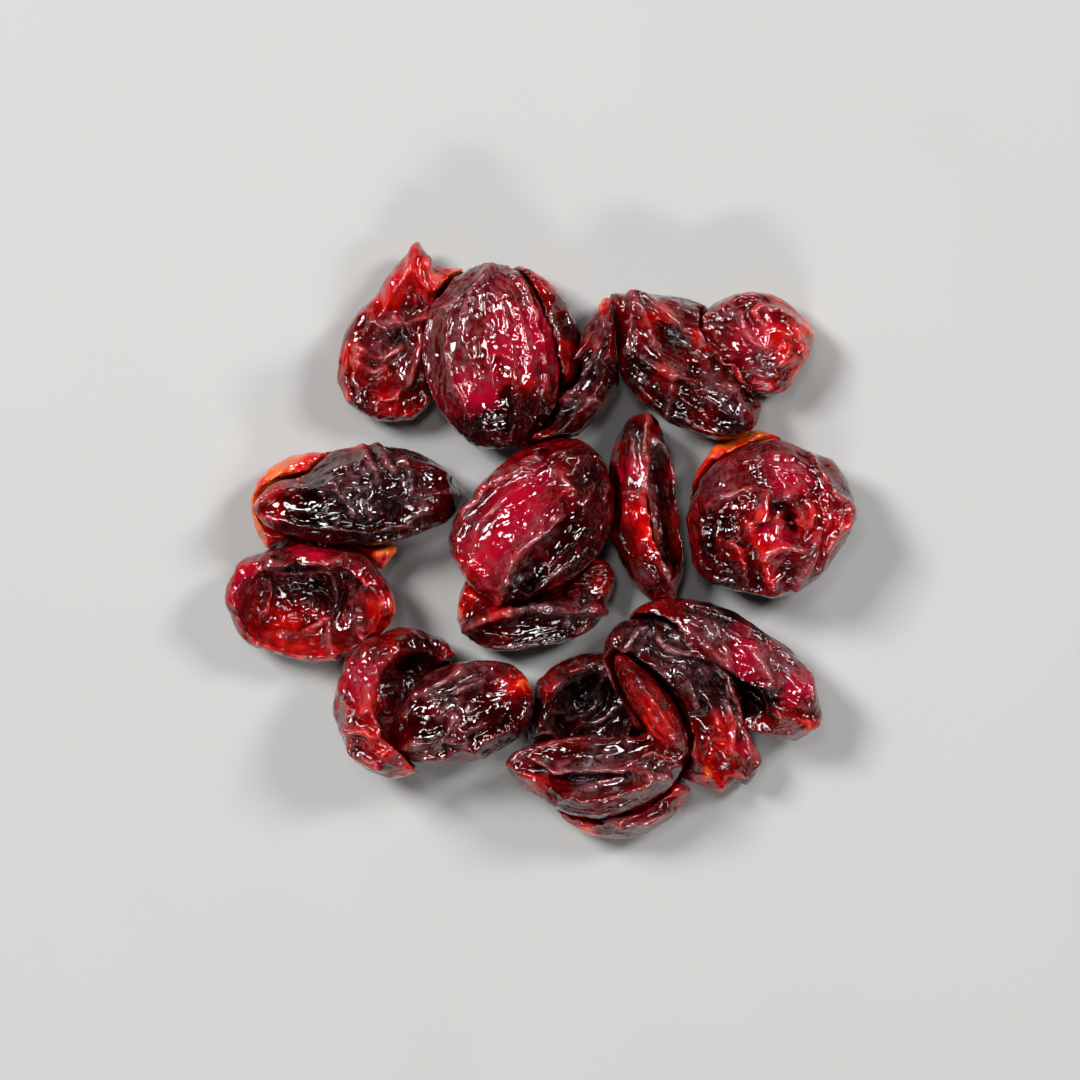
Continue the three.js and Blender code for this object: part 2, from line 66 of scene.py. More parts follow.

# Each berry: the slot of its finish; run, the direction that its wrinkles run in, as degrees in plan
# from +X, or "round" where they run round its middle; amount, how strongly it is wrinkled; shade,
# how much brighter it is than its finish. The rest is in plan, in millimetres from the cluster's middle:
#   folds                        [x1, y1, x2, y2, bow, height, width] ridges, grooves where height < 0
#   red, dark, rose, grey, amber [x, y, radius] patches where the skin has another tone, some of it painted
#   light and shade:
# amber: a painted orange glow of light through thin rims
# dark: partly the skin's own deeper red, partly painted shade in hollows
# grey: a painted sheen, the lamps' broad reflection
# red: partly the skin's own brighter red, partly painted light shining through thin skin
# rose: partly the skin's own rose tone, partly a painted pink sheen
BERRIES = {
    "top_dome": dict(
        slot="rose_red_skin", run=98, amount=0.6,
        folds=[(-4.0, 20.2, -7.2, 17.0, 0.5, 0.3, 0.3), (-3.4, 20.2, -5.9, 15.6, -0.4, 0.25, 0.3),
               (-2.0, 19.6, -0.4, 16.2, 0.2, 0.3, 0.3), (-0.6, 19.0, 1.0, 15.5, 0.3, 0.3, 0.3)],
        rose=[(-0.8, 15.0, 2.7), (-4.4, 11.0, 1.8)], grey=[(-5.8, 14.4, 3.0), (-5.4, 17.8, 2.2)],
        dark=[(-1.0, 9.2, 2.6), (-4.8, 8.0, 2.0)], red=[(-1.0, 11.6, 1.0)],
    ),
    "centre_ridge": dict(
        slot="rose_red_skin", run=42, amount=0.75,
        folds=[(-3.2, -4.4, 1.5, 1.8, 0.7, 0.5, 0.4), (-5.6, 2.0, -0.8, 5.2, 0.4, 0.25, 0.3),
               (-4.5, 3.6, -0.3, 6.0, 0.3, 0.25, 0.3), (1.3, 5.0, 2.4, 3.4, 0.0, 0.3, 0.35)],
        rose=[(-1.5, 2.6, 2.6), (-3.6, -0.8, 1.8)],
        grey=[(-5.0, 1.2, 1.3), (-2.4, -2.2, 1.0), (0.3, 0.8, 1.0)],
        dark=[(3.4, -0.6, 3.2), (-0.8, -3.2, 1.8), (3.6, 5.6, 1.6)], red=[(-4.6, -1.6, 1.3)],
    ),
    "upper_right_tip": dict(
        slot="bright_red_skin", run=-10, amount=0.7, shade=-0.04,
        folds=[(15.0, 16.6, 16.6, 14.2, -0.5, 0.35, 0.3), (15.9, 16.8, 16.8, 14.6, 0.3, 0.3, 0.3),
               (16.4, 17.2, 20.0, 15.4, 0.4, 0.25, 0.3), (18.6, 16.4, 19.6, 14.4, 0.0, 0.25, 0.3)],
        rose=[(16.0, 15.0, 1.5)], grey=[(13.8, 16.2, 1.5), (16.6, 12.9, 1.2)], red=[(18.2, 15.2, 2.0)],
        amber=[(19.3, 12.4, 1.1), (20.5, 15.8, 0.9), (17.2, 18.5, 0.8), (15.6, 18.3, 0.7)],
    ),
    "right_dome": dict(
        slot="rose_red_skin", run="round", amount=0.8,
        folds=[(15.0, 0.2, 16.3, 3.2, -0.4, 0.5, 0.4), (16.4, 3.2, 18.1, 3.5, -0.3, 0.4, 0.35),
               (18.2, 3.5, 19.7, 1.2, 0.0, 0.4, 0.35), (16.8, 1.4, 19.2, 1.3, -0.4, 0.6, 0.9),
               (20.0, 6.6, 23.1, 2.2, -0.4, 0.3, 0.3), (23.2, 1.6, 20.6, -3.2, -0.6, 0.3, 0.3),
               (14.8, 0.0, 16.0, -3.6, 0.3, -0.7, 0.5), (20.2, -0.2, 18.9, -3.4, 0.2, 0.5, 0.4),
               (12.4, 2.4, 15.2, 3.6, 0.2, 0.5, 0.4), (16.4, -1.4, 19.2, -0.9, 0.5, 0.5, 0.4)],
        rose=[(18.1, 4.6, 1.5), (17.3, 0.6, 1.2)],
        grey=[(16.8, 6.6, 1.6), (13.2, 4.8, 1.4), (22.6, 4.0, 1.3), (19.4, -2.9, 1.2)],
        dark=[(17.9, 2.6, 0.7), (13.0, 0.8, 1.2), (14.0, -2.6, 2.0), (20.4, 1.8, 0.5)],
        red=[(16.5, -1.0, 2.0), (21.2, 1.4, 2.0), (19.0, 1.6, 1.0), (15.6, 1.6, 0.9)],
        amber=[(20.8, 4.5, 0.5)],
    ),
    "left_dark": dict(
        slot="dark_skin", run=3, amount=1.0,
        folds=[(-13.2, 6.8, -12.0, 4.4, 0.0, 0.4, 0.3), (-12.1, 7.0, -10.9, 5.2, 0.0, 0.4, 0.3),
               (-10.0, 5.8, -9.6, 3.6, 0.2, 0.35, 0.3), (-15.3, 4.2, -13.8, 2.0, 0.0, 0.3, 0.3),
               (-12.9, 3.8, -12.5, 2.0, 0.0, 0.3, 0.3), (-20.6, 2.8, -17.4, 5.2, 0.2, 0.3, 0.3)],
        grey=[(-13.2, 4.0, 2.2), (-11.0, 4.8, 1.8), (-8.9, 2.8, 1.0), (-16.4, 5.2, 1.5)],
        red=[(-20.4, 1.8, 1.2), (-19.3, 3.4, 1.4)],
        dark=[(-13.0, 1.0, 3.4), (-17.0, 1.6, 1.5)], amber=[(-13.3, 7.1, 0.9), (-21.3, 3.0, 0.6)],
    ),
    "lower_left_dome": dict(
        slot="deep_red_skin", run=27, amount=0.7,
        folds=[(-9.3, -11.6, -5.8, -9.6, -0.2, 0.35, 0.4), (-8.3, -11.6, -4.4, -10.4, -0.3, 0.25, 0.3),
               (-6.3, -13.0, -7.6, -15.4, 0.2, 0.3, 0.3), (-6.2, -13.2, -5.4, -15.4, 0.2, 0.3, 0.3),
               (-9.8, -15.2, -4.2, -15.9, 0.8, 0.3, 0.3)],
        grey=[(-7.8, -10.8, 1.4), (-5.0, -9.8, 1.5), (-6.2, -12.6, 1.0), (-8.6, -16.1, 1.0)],
        dark=[(-3.5, -13.0, 1.8), (-8.6, -13.8, 1.3)], red=[(-2.0, -10.6, 1.2)], amber=[(-1.2, -10.8, 0.6)],
    ),
    "bottom_lip": dict(
        slot="deep_red_skin", run=3, amount=0.7,
        folds=[(-0.2, -16.3, 8.6, -15.8, -0.8, 0.45, 0.35), (0.6, -17.2, 8.0, -17.8, 0.8, 0.45, 0.35),
               (2.0, -16.6, 7.5, -16.9, -0.4, 0.35, 0.3), (1.0, -19.5, 9.4, -17.6, 0.6, 0.3, 0.3)],
        grey=[(5.0, -15.3, 1.8), (8.9, -17.4, 1.3), (3.5, -17.8, 1.2), (-1.5, -15.6, 0.8)],
        dark=[(3.3, -16.8, 0.9)], red=[(-0.4, -17.9, 0.9), (7.8, -12.4, 1.9), (8.7, -14.2, 1.4)],
    ),
    "lower_right_tongue": dict(
        slot="dark_skin", run=-57, amount=1.0,
        folds=[(6.2, -8.3, 7.8, -6.4, 0.2, 0.35, 0.3), (8.8, -7.2, 11.4, -8.4, -0.4, 0.4, 0.35),
               (10.2, -10.0, 11.4, -12.2, 0.3, 0.35, 0.3), (14.2, -9.6, 16.2, -16.6, -0.5, 0.35, 0.35),
               (13.6, -12.0, 14.2, -15.6, 0.3, 0.3, 0.3)],
        grey=[(9.8, -8.0, 1.8), (12.0, -9.2, 1.5), (7.4, -7.3, 1.2), (11.0, -10.6, 1.0)],
        dark=[(9.0, -5.4, 2.0), (9.0, -11.0, 1.3), (12.2, -11.4, 1.2)], rose=[(15.7, -15.4, 0.9)],
        red=[(14.0, -13.6, 1.8), (12.8, -15.6, 2.4), (13.4, -16.2, 1.4)],
        amber=[(13.6, -17.8, 1.0), (12.0, -17.9, 0.6)],
    ),
    "centre_right_edge": dict(
        slot="bright_red_skin", run=98, amount=0.7, shade=-0.10,
        folds=[(8.0, 9.0, 8.4, 3.4, -0.3, 0.35, 0.3), (8.4, 3.4, 9.9, -4.3, -0.2, 0.35, 0.3),
               (6.4, 3.5, 8.2, 3.7, 0.0, 0.25, 0.3), (6.8, 8.0, 7.0, 5.4, 0.0, 0.25, 0.3)],
        red=[(7.4, 3.0, 1.1), (7.8, 0.6, 0.9)], rose=[(7.0, 5.4, 1.0)],
        grey=[(8.3, 7.0, 0.9), (7.7, -2.5, 0.7), (7.6, 3.6, 0.9)],
        dark=[(9.6, 6.4, 1.5), (10.0, 3.2, 1.3), (10.2, 0.2, 1.3), (10.2, -2.4, 1.0), (6.7, 8.2, 1.0)],
        amber=[(8.3, 0.5, 0.5), (10.2, 4.6, 0.5), (10.3, -2.8, 0.5)],
    ),
    "left_cup": dict(
        slot="bright_red_skin", run="round", amount=0.75, shade=-0.12,
        folds=[(-20.4, -1.4, -14.4, -1.0, -0.8, 0.3, 0.25), (-20.2, -2.0, -14.6, -1.5, -0.7, 0.25, 0.25),
               (-20.4, -3.0, -20.8, -5.4, 0.2, 0.4, 0.3), (-15.4, -2.6, -15.4, -5.6, 0.3, 0.4, 0.3),
               (-14.0, -3.2, -14.5, -5.8, 0.2, 0.35, 0.3), (-13.1, -3.4, -13.3, -7.2, -0.3, 0.35, 0.3),
               (-19.4, -7.0, -16.0, -6.0, -0.4, 0.35, 0.3), (-15.6, -6.0, -15.2, -8.8, -0.3, 0.35, 0.3)],
        dark=[(-18.0, -3.4, 1.9), (-15.8, -4.2, 1.3)], rose=[(-22.3, -2.6, 1.4), (-17.0, -0.8, 1.6)],
        grey=[(-13.0, -1.2, 0.9), (-19.6, -0.9, 1.0)],
        red=[(-17.5, -6.0, 2.2), (-13.2, -5.0, 1.4), (-20.0, -6.4, 1.6)],
        amber=[(-11.6, -5.0, 1.0), (-16.0, -9.2, 0.8)],
    ),
    "lower_left_cup": dict(
        slot="bright_red_skin", run="round", amount=0.75, shade=-0.06,
        folds=[(-14.8, -10.5, -14.0, -16.4, 0.4, 0.35, 0.35), (-12.9, -14.2, -14.6, -13.9, 0.0, 0.3, 0.3),
               (-13.6, -16.2, -11.7, -16.9, 0.0, 0.25, 0.3), (-12.6, -10.8, -13.2, -12.8, 0.3, 0.3, 0.3)],
        rose=[(-13.2, -10.2, 1.5)], grey=[(-12.4, -9.2, 1.4), (-15.0, -12.5, 0.8), (-10.6, -16.6, 0.8)],
        red=[(-12.6, -12.6, 1.6), (-11.9, -15.0, 1.5), (-10.8, -9.6, 0.8)],
        dark=[(-10.0, -11.2, 1.3), (-8.4, -8.4, 1.8)], amber=[(-10.0, -17.2, 0.8)],
    ),
    "upper_right_folded": dict(
        slot="deep_red_skin", run=-42, amount=0.8,
        folds=[(6.7, 18.2, 6.5, 14.0, 0.2, 0.3, 0.3), (6.9, 18.0, 8.8, 14.2, 0.0, 0.3, 0.3),
               (7.3, 18.0, 10.6, 15.4, 0.3, 0.3, 0.3), (7.6, 13.6, 14.8, 11.2, -0.7, 0.4, 0.35),
               (9.0, 15.6, 16.0, 10.6, 0.3, -0.5, 0.5), (9.8, 12.2, 9.4, 9.4, 0.0, 0.3, 0.3)],
        red=[(8.6, 16.6, 1.6), (11.0, 14.9, 0.9), (9.5, 12.0, 1.0)],
        grey=[(10.6, 17.5, 0.9), (13.0, 15.8, 1.3), (13.3, 11.3, 1.2), (14.8, 9.8, 0.8)],
        dark=[(10.3, 14.6, 1.0), (7.2, 12.4, 1.5), (9.6, 9.0, 2.0), (14.0, 8.8, 1.2)],
    ),
    "lower_right_fold": dict(
        slot="rose_red_skin", run=-28, amount=0.7, shade=-0.12,
        folds=[(11.8, -7.1, 13.4, -9.0, 0.0, 0.35, 0.3), (12.9, -6.3, 13.9, -9.4, 0.2, 0.4, 0.3),
               (15.6, -8.0, 17.0, -10.5, 0.0, 0.4, 0.5), (20.2, -9.5, 20.5, -12.4, -0.3, 0.3, 0.3),
               (13.9, -10.2, 19.6, -12.8, -0.3, -0.4, 0.4)],
        rose=[(15.6, -8.6, 1.8), (19.2, -10.5, 1.5)],
        grey=[(17.6, -9.0, 1.8), (12.4, -6.4, 1.6), (20.4, -9.6, 1.2)],
        dark=[(13.6, -5.0, 1.5), (17.0, -6.4, 1.1), (16.4, -12.0, 1.2)], red=[(18.3, -13.2, 1.5)],
        amber=[(20.9, -13.8, 1.1)],
    ),
    "top_left": dict(
        slot="bright_red_skin", run=80, amount=0.75,
        folds=[(-12.4, 16.2, -8.3, 16.7, -0.4, 0.45, 0.35), (-12.2, 15.6, -9.6, 15.9, 0.6, 0.4, 0.3),
               (-13.5, 14.3, -10.4, 14.3, -0.6, 0.45, 0.3), (-13.5, 13.2, -11.5, 12.8, -0.4, 0.4, 0.3),
               (-10.7, 10.8, -9.5, 12.6, -0.3, 0.4, 0.3), (-8.1, 21.4, -7.7, 19.0, -0.5, 0.3, 0.3),
               (-9.3, 21.8, -9.8, 20.0, 0.0, 0.3, 0.3)],
        red=[(-9.8, 19.6, 2.4), (-11.2, 17.9, 1.4), (-14.2, 14.0, 1.0), (-11.0, 9.4, 1.3)],
        rose=[(-11.6, 19.4, 1.1)], grey=[(-11.6, 16.2, 0.9), (-12.2, 14.0, 1.1), (-9.6, 13.5, 1.0)],
        dark=[(-9.8, 17.3, 0.9), (-10.8, 15.2, 0.8), (-13.5, 10.3, 1.2), (-9.0, 11.2, 1.0)],
        amber=[(-6.2, 20.6, 1.2), (-14.7, 10.2, 0.6)],
    ),
    "top_back": dict(
        slot="deep_red_skin", run=-65, amount=0.8,
        amber=[(0.3, 19.4, 1.3)], grey=[(1.6, 18.0, 0.8)], dark=[(2.0, 15.8, 1.2)],
    ),
    "top_leaf": dict(
        slot="deep_red_skin", run=58, amount=0.8,
        folds=[(5.0, 18.0, 3.2, 12.4, 0.5, 0.4, 0.35), (1.5, 10.4, 5.4, 9.8, 0.3, 0.3, 0.3)],
        grey=[(4.3, 15.2, 1.0), (3.6, 12.7, 1.0), (3.0, 10.3, 0.7)], red=[(2.2, 11.6, 0.8)],
        dark=[(5.2, 12.0, 1.4), (2.0, 13.0, 1.0), (2.4, 8.6, 1.5)],
        amber=[(3.9, 14.6, 0.6), (4.3, 17.7, 0.8)],
    ),
    "bottom_cup": dict(
        slot="dark_skin", run="round", amount=0.9,
        folds=[(1.0, -12.8, 4.8, -9.9, -0.8, 0.4, 0.35), (2.0, -13.4, 4.6, -11.4, -0.6, 0.4, 0.35),
               (3.4, -13.8, 5.6, -12.6, -0.4, 0.35, 0.3)],
        grey=[(0.2, -14.0, 1.2), (1.6, -10.6, 0.7)], red=[(-0.8, -13.4, 0.8), (0.6, -10.6, 0.8)],
        dark=[(4.4, -12.0, 2.6)], amber=[(2.6, -14.0, 0.5), (-1.4, -15.0, 0.5)],
    ),
    "bottom_under": dict(
        slot="deep_red_skin", run=12, amount=0.8,
        folds=[(2.8, -20.4, 6.2, -21.2, 0.2, 0.35, 0.3), (6.2, -21.2, 9.6, -20.0, -0.3, 0.35, 0.3)],
        red=[(7.6, -20.0, 1.7), (3.0, -20.8, 1.2), (10.0, -18.6, 1.2)],
        grey=[(5.8, -20.6, 1.3), (7.6, -21.9, 0.9)], amber=[(3.4, -21.6, 0.7)],
    ),
    "centre_under": dict(
        slot="deep_red_skin", run=8, amount=0.6,
        folds=[(-5.4, -6.5, -0.4, -4.9, 0.2, 0.45, 0.35), (-0.4, -4.9, 4.6, -5.3, 0.0, 0.45, 0.4),
               (-3.5, -8.3, 1.5, -7.4, 0.0, 0.25, 0.25)],
        grey=[(-0.2, -5.1, 0.9), (2.6, -5.3, 1.1)],
        red=[(-5.5, -4.0, 1.2), (-3.0, -5.0, 1.0), (4.4, -3.4, 1.0)],
        dark=[(0.2, -6.8, 2.6), (3.4, -4.0, 0.8)], amber=[(-6.2, -5.0, 0.8)],
    ),
    "right_under": dict(
        slot="amber_red_skin", run="round", amount=1.0,
        amber=[(13.6, 7.6, 1.2), (16.6, 8.1, 1.0)], red=[(14.8, 6.9, 0.9)],
    ),
    "left_under": dict(
        slot="amber_red_skin", run="round", amount=1.0,
        amber=[(-20.0, 5.2, 1.5), (-18.0, 6.6, 0.7), (-21.0, 2.0, 1.5), (-21.2, -0.5, 1.0),
               (-11.2, -1.2, 1.0)],
        red=[(-18.8, 5.7, 0.9), (-20.4, 3.4, 0.8)], dark=[(-19.8, 0.5, 0.9), (-13.2, -0.9, 1.2)],
    ),
}


# ---------------------------------------------------------------- meshes


def coordinates(mesh):
    flat = np.empty(len(mesh.vertices) * 3)
    mesh.vertices.foreach_get("co", flat)
    return flat.reshape(-1, 3)


def set_coordinates(mesh, points):
    mesh.vertices.foreach_set("co", points.ravel())
    mesh.update()


def normals(mesh):
    flat = np.empty(len(mesh.vertices) * 3)
    mesh.vertex_normals.foreach_get("vector", flat)
    return flat.reshape(-1, 3)


def modified(mesh, kind, **settings):
    """A new mesh: the given one with one modifier applied."""
    holder = bpy.data.objects.new("holder", mesh)
    bpy.context.scene.collection.objects.link(holder)
    modifier = holder.modifiers.new(kind.lower(), kind)
    for name, value in settings.items():
        setattr(modifier, name, value)
    graph = bpy.context.evaluated_depsgraph_get()
    result = bpy.data.meshes.new_from_object(holder.evaluated_get(graph), depsgraph=graph)
    bpy.data.objects.remove(holder)
    bpy.data.meshes.remove(mesh)
    return result


def joined_copy(node):
    """The node's mesh in millimetres, with the points that its faces share merged."""
    bm = bmesh.new()
    bm.from_mesh(node.data)
    bmesh.ops.scale(bm, vec=Vector((1, 1, 1)) / METRES, verts=bm.verts)
    bmesh.ops.remove_doubles(bm, verts=bm.verts, dist=0.001)
    mesh = bpy.data.meshes.new("skin")
    bm.to_mesh(mesh)
    bm.free()
    return mesh


# ---------------------------------------------------------------- buckling


class Web:
    """Which points of a mesh pull on which: its edges and the diagonals of its four-sided faces."""

    def __init__(self, mesh):
        edges = np.empty(len(mesh.edges) * 2, int)
        mesh.edges.foreach_get("vertices", edges)
        pairs = [edges.reshape(-1, 2)]
        for face in mesh.polygons:
            if len(face.vertices) == 4:
                a, b, c, d = face.vertices
                pairs.append(((a, c), (b, d)))
        pairs = np.vstack(pairs)
        both = np.vstack([pairs, pairs[:, ::-1]])
        both = both[np.argsort(both[:, 0], kind="stable")]
        self.here, self.there = both[:, 0], both[:, 1]
        self.counts = np.bincount(self.here, minlength=len(mesh.vertices))
        self.starts = np.concatenate([[0], np.cumsum(self.counts)[:-1]])

    def total(self, values):
        return np.add.reduceat(values, self.starts, axis=0)

    def mean(self, values):
        counts = self.counts if values.ndim == 1 else self.counts[:, None]
        return self.total(values[self.there]) / counts

    def smoothed(self, values, times):
        for _ in range(times):
            values = values + 0.5 * (self.mean(values) - values)
        return values


def face_list(mesh):
    return [tuple(face.vertices) for face in mesh.polygons]


def wall_thickness(points, outward, faces):
    """How far each point is from the far side of the skin under it, and the nearest point there."""
    tree = BVHTree.FromPolygons(points.tolist(), faces)
    start, most = 0.02, 6.0
    thickness = np.full(len(points), most)
    partner = np.full(len(points), -1)
    for i, (point, normal) in enumerate(zip(points.tolist(), outward.tolist())):
        inward = -Vector(normal)
        hit, _, face, distance = tree.ray_cast(Vector(point) + inward * start, inward, most)
        if hit is not None:
            thickness[i] = distance + start
            partner[i] = min(faces[face], key=lambda v: (Vector(points[v]) - hit).length)
    return thickness, partner


def run_directions(run, points):
    """The way that the wrinkles run at each point: round the berry's middle, or one bearing in plan."""
    if run == "round":
        out = points - points.mean(axis=0)
        ways = np.column_stack([-out[:, 1], out[:, 0], np.zeros(len(out))])
        return ways / np.maximum(np.linalg.norm(ways, axis=1), 1e-6)[:, None]
    angle = np.radians(run)
    return np.tile([np.cos(angle), np.sin(angle), 0.0], (len(points), 1))


def relief_share(outward):
    """How deep the relief is: full on the faces that look up or down, less on the sides."""
    return 0.45 + 0.55 * np.abs(outward[:, 2])


def grown_lengths(web, points, outward, run, growth, seed):
    """The lengths that the skin's springs want: longer across the direction its wrinkles run in."""
    span = points[web.there] - points[web.here]
    length = np.linalg.norm(span, axis=1)
    middle = (points[web.there] + points[web.here]) / 2
    share = (np.einsum("ij,ij->i", span, run_directions(run, middle)) / length) ** 2
    patch = smooth_noise(middle, GROWTH_PATCH, seed)
    strength = relief_share(outward)[web.here]
    return length * (1 + growth * strength * (1 - GROWTH_ACROSS * share) * (1 + GROWTH_UNEVEN * patch))


def smooth_noise(points, size, seed):
    """Values of about -1 to 1 that change over the given distance: the sum of a few crossed waves."""
    rng = np.random.default_rng(seed)
    total = np.zeros(len(points))
    for _ in range(7):
        way = rng.normal(size=3)
        way *= 2 * np.pi / (size * rng.uniform(1.2, 2.4) * np.linalg.norm(way))
        total += np.sin(points @ way + rng.uniform(0, 2 * np.pi))
    return total / 3


def add_wall_pull(force, now, ties, tie_length):
    """Keeps the two faces of a thin wall as far apart as they were."""
    here, there = ties
    across = now[there] - now[here]
    size = np.linalg.norm(across, axis=1)
    pull = across * (WALL_HOLD * (size - tie_length) / np.maximum(size, 1e-6))[:, None]
    for axis in range(3):
        force[:, axis] += np.bincount(here, pull[:, axis], len(force))
        force[:, axis] -= np.bincount(there, pull[:, axis], len(force))


def buckled(points, outward, web, ties, run, wrinkle, seed):
    """Lets a skin that has grown too large for its form settle into wrinkles, above the floor."""
    rng = np.random.default_rng(seed)
    wanted = grown_lengths(web, points, outward, run, wrinkle["growth"], seed)
    here, there = ties
    tie_length = np.linalg.norm(points[there] - points[here], axis=1)
    now = points + JITTER * rng.normal(size=points.shape)
    speed = np.zeros_like(points)
    for _ in range(wrinkle["steps"]):
        span = now[web.there] - now[web.here]
        length = np.sqrt(np.einsum("ij,ij->i", span, span))
        force = web.total(span * ((length - wanted) / length)[:, None])
        moved = now - points
        curve = web.mean(moved) - moved
        force -= wrinkle["bend"] * (web.mean(curve) - curve)
        out = np.einsum("ij,ij->i", moved, outward)
        hold = np.where(out < 0, wrinkle["inner"], wrinkle["outer"]) * out
        past = np.maximum(out - PROUD, 0) + np.minimum(out + SUNK, 0)
        force -= (hold + STOP * past)[:, None] * outward
        force -= ANCHOR * moved
        if len(here):
            add_wall_pull(force, now, ties, tie_length)
        speed = DAMPING * (speed + STEP * force)
        now = now + STEP * speed
    now[:, 2] = np.maximum(now[:, 2], 0)
    return now


def wrinkle_skin(mesh, web, run, wrinkle, seed):
    """Wrinkles the mesh, with the two faces of its thin walls tied together."""
    points = coordinates(mesh)
    outward = web.smoothed(normals(mesh), 2)
    outward /= np.linalg.norm(outward, axis=1)[:, None]
    thickness, partner = wall_thickness(points, outward, face_list(mesh))
    tied = np.flatnonzero((thickness < THIN_WALL) & (partner >= 0))
    ties = tied, partner[tied]
    set_coordinates(mesh, buckled(points, outward, web, ties, run, wrinkle, seed))


def bent_line(x1, y1, x2, y2, bow):
    """Points along a line in plan that bows to its left."""
    start, end = np.array([x1, y1]), np.array([x2, y2])
    side = np.array([y1 - y2, x2 - x1]) / np.hypot(x2 - x1, y2 - y1)
    share = np.linspace(0, 1, 9)[:, None]
    return start + share * (end - start) + 4 * bow * share * (1 - share) * side


def distance_to_line(places, line):
    """How far each place in plan is from the nearest part of the line."""
    nearest = np.full(len(places), np.inf)
    for start, end in zip(line[:-1], line[1:]):
        along = end - start
        share = np.clip((places - start) @ along / (along @ along), 0, 1)[:, None]
        nearest = np.minimum(nearest, np.linalg.norm(places - start - share * along, axis=1))
    return nearest


def facing_up(outward):
    """1 on the faces that look up, 0 on the sides and below."""
    return np.clip((outward[:, 2] - 0.1) / 0.4, 0, 1)


def fold(mesh, folds):
    """Raises the berry's own ridges and presses its grooves, on the faces that look up."""
    points, outward = coordinates(mesh), normals(mesh)
    for *line, height, width in folds:
        away = distance_to_line(points[:, :2], bent_line(*line))
        rise = FOLD_HEIGHT * height * np.exp(-((away / width) ** 2))
        points += outward * (facing_up(outward) * rise)[:, None]
    set_coordinates(mesh, points)


def ridge_highlight_mask(points, outward, folds):
    """Where the painted highlight goes: 1 along the crests of the berry's own ridges, 0 away from them."""
    lines = np.zeros(len(points))
    for *line, height, _ in folds:
        if height > 0:
            away = distance_to_line(points[:, :2], bent_line(*line))
            lines = np.maximum(lines, np.exp(-((away / RIDGE_HIGHLIGHT_WIDTH) ** 2)))
    return lines * facing_up(outward)


def roof(place):
    """1 on the borders of scattered cells, falling evenly to 0 towards their middles."""
    (first, second, _, _), _ = noise.voronoi(place)
    return 1 - min(1, FACET_EDGE * (second - first))


def crease(mesh, look, seed):
    """Breaks the skin into small flat faces with sharp ridges between them, longer along its run."""
    points, outward = coordinates(mesh), normals(mesh)
    ways = run_directions(look["run"], points)
    along = np.einsum("ij,ij->i", points, ways)[:, None] * ways
    stretch = 0 if look["run"] == "round" else FACET_STRETCH
    places = points - stretch * along + SEED_SHIFT * seed
    height = np.empty(len(points))
    for i, place in enumerate(places.tolist()):
        bent = Vector(place) + FACET_BEND * noise.noise_vector(Vector(place) * FACET_BENDS)
        height[i] = sum(rise * roof(bent / size) for size, rise in FACETS)
    height -= height.mean()
    points += outward * (relief_share(outward) * height)[:, None]
    points[:, 2] = np.maximum(points[:, 2], 0)
    set_coordinates(mesh, points)


def crumpled(mesh, look, seed):
    """The mesh with its skin settled into coarse wrinkles, and then, with finer faces, into fine ones."""
    web = Web(mesh)
    points = web.smoothed(coordinates(mesh), 2)
    set_coordinates(mesh, points)
    set_coordinates(mesh, points - SHRUNK * normals(mesh))
    fold(mesh, look.get("folds", []))
    for size, wrinkle in enumerate(WRINKLES):
        coarse = dict(wrinkle, growth=wrinkle["growth"] * look["amount"])
        wrinkle_skin(mesh, web, look["run"], coarse, 10 * seed + size)
    mesh = modified(mesh, "SUBSURF", levels=1)
    wrinkle_skin(mesh, Web(mesh), look["run"], FINE_WRINKLES, 10 * seed + 9)
    crease(mesh, look, seed)
    return mesh


# ---------------------------------------------------------------- colour data


def write_value(mesh, name, values):
    mesh.attributes.new(name, "FLOAT", "POINT")
    mesh.attributes[name].data.foreach_set("value", values.astype(np.float32))


THICK = 3.0  # skin this thick lets no light through
CREST_GAIN = 22  # how fast the finest ridges reach full strength
SWELL_GAIN = 3  # the same for the broad ones
SWELL_ROUNDS = 40  # rounds of smoothing that even out the broad ones
MOST_LEVEL, LEAST_AMBER = 0.85, 0.3  # the painted amber glow of light through thin rims is full where the skin turns down and weak where it is level

TONES = {
    # what a patch of each kind adds to the skin's brightness, rose, grey sheen and amber; red and dark
    # patches are partly painted light and shade, rose partly a painted pink sheen, grey a painted sheen and
    # amber a painted glow of light through thin rims
    "red": (0.20, 0.0, 0.0, 0.0),
    "dark": (-0.24, -0.5, 0.0, 0.0),
    "rose": (0.14, 1.0, 0.0, 0.0),
    "grey": (-0.02, 0.0, 1.0, 0.0),
    "amber": (0.25, -1.0, 0.0, 1.0),
}


def patch_strength(points, x, y, radius, seed):
    """1 in a round patch in plan, 0 outside, with a soft and uneven edge."""
    away = np.hypot(points[:, 0] - x, points[:, 1] - y) / radius
    away *= 1 + 0.34 * smooth_noise(points, 1.3, seed) + 0.20 * smooth_noise(points, 0.5, seed + 1)
    return np.clip((1.4 - away) / 0.9, 0, 1)


def mark_form(mesh, points, outward, folds):
    """Stores how thin the skin is, its fine crests, its broad swellings and its own ridges, from which the
    finish paints light shining through thin skin, highlights on the crests and ridges, light on the
    swellings and shade in the hollows.
    """
    web = Web(mesh)
    thickness, _ = wall_thickness(points, outward, face_list(mesh))
    write_value(mesh, "thin", np.clip(web.smoothed(1 - thickness / THICK, 2), 0, 1))
    fine = np.sum((points - web.mean(points)) * outward, axis=1)
    write_value(mesh, "crest", np.clip(web.smoothed(fine, 1) * CREST_GAIN, -1, 1))
    broad = np.sum((points - web.smoothed(points, SWELL_ROUNDS)) * outward, axis=1)
    write_value(mesh, "swell", np.clip(broad * SWELL_GAIN, -1, 1))
    write_value(mesh, "ridge", ridge_highlight_mask(points, outward, folds))


